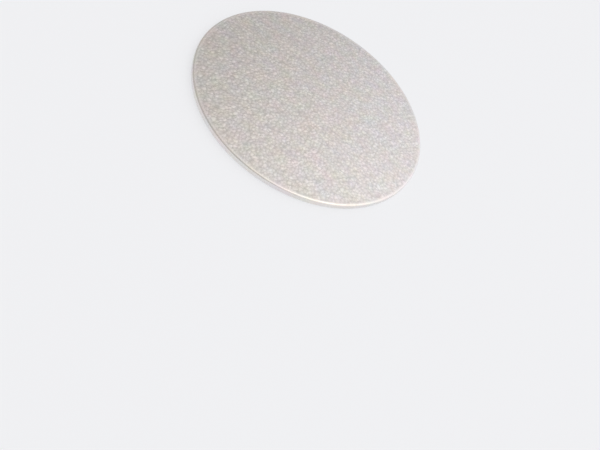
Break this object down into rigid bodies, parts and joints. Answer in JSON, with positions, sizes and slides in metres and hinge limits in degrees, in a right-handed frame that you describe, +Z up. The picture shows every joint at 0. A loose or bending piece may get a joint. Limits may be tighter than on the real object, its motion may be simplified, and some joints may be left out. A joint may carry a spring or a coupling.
{
  "type": "cake board",
  "caption": "Round cake board: a thin, stiff card disc wrapped in embossed silver foil, on which a cake stands and is carried.",
  "frame": {"origin": "centre of the underside, in the plane of the backing paper that rests on the table", "axes": "+Z up through the middle of the board, out of the cake face; the board is round, so X and Y are any two level directions at right angles"},
  "size_m": [0.152, 0.152, 0.004],
  "materials": {
    "silver_foil": "satin silver foil on paper, finely embossed all over, wrapped round stiff card"
  },
  "bodies": {
    "root": {"cake_board": "silver_foil"}
  },
  "joints": []
}
